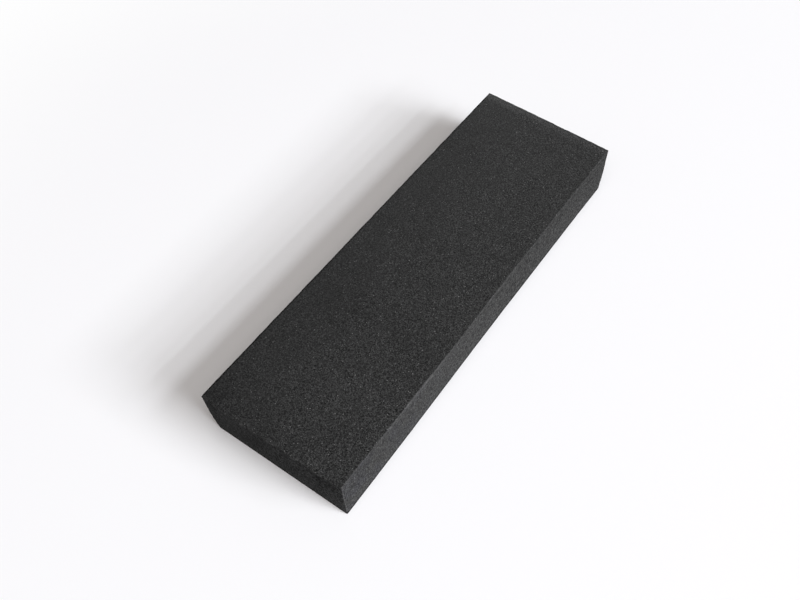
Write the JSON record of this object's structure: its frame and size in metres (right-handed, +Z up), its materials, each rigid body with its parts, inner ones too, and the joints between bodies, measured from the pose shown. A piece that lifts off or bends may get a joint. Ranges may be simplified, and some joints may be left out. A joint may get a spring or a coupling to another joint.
{
  "type": "foam block",
  "caption": "Plain rectangular block of fine-celled black foam with crisp cut edges, lying on its broad underside; the near end bulges slightly along its upper edge.",
  "frame": {"origin": "centre of the underside", "axes": "+Y along the length away from the bulged end, +Z up through the thickness, +X across the width to the right"},
  "size_m": [0.065, 0.2, 0.025],
  "materials": {
    "foam": "dead matte cut foam, fine open pores with small glinting cell walls"
  },
  "bodies": {
    "root": {"foam_block": "foam"}
  },
  "joints": []
}
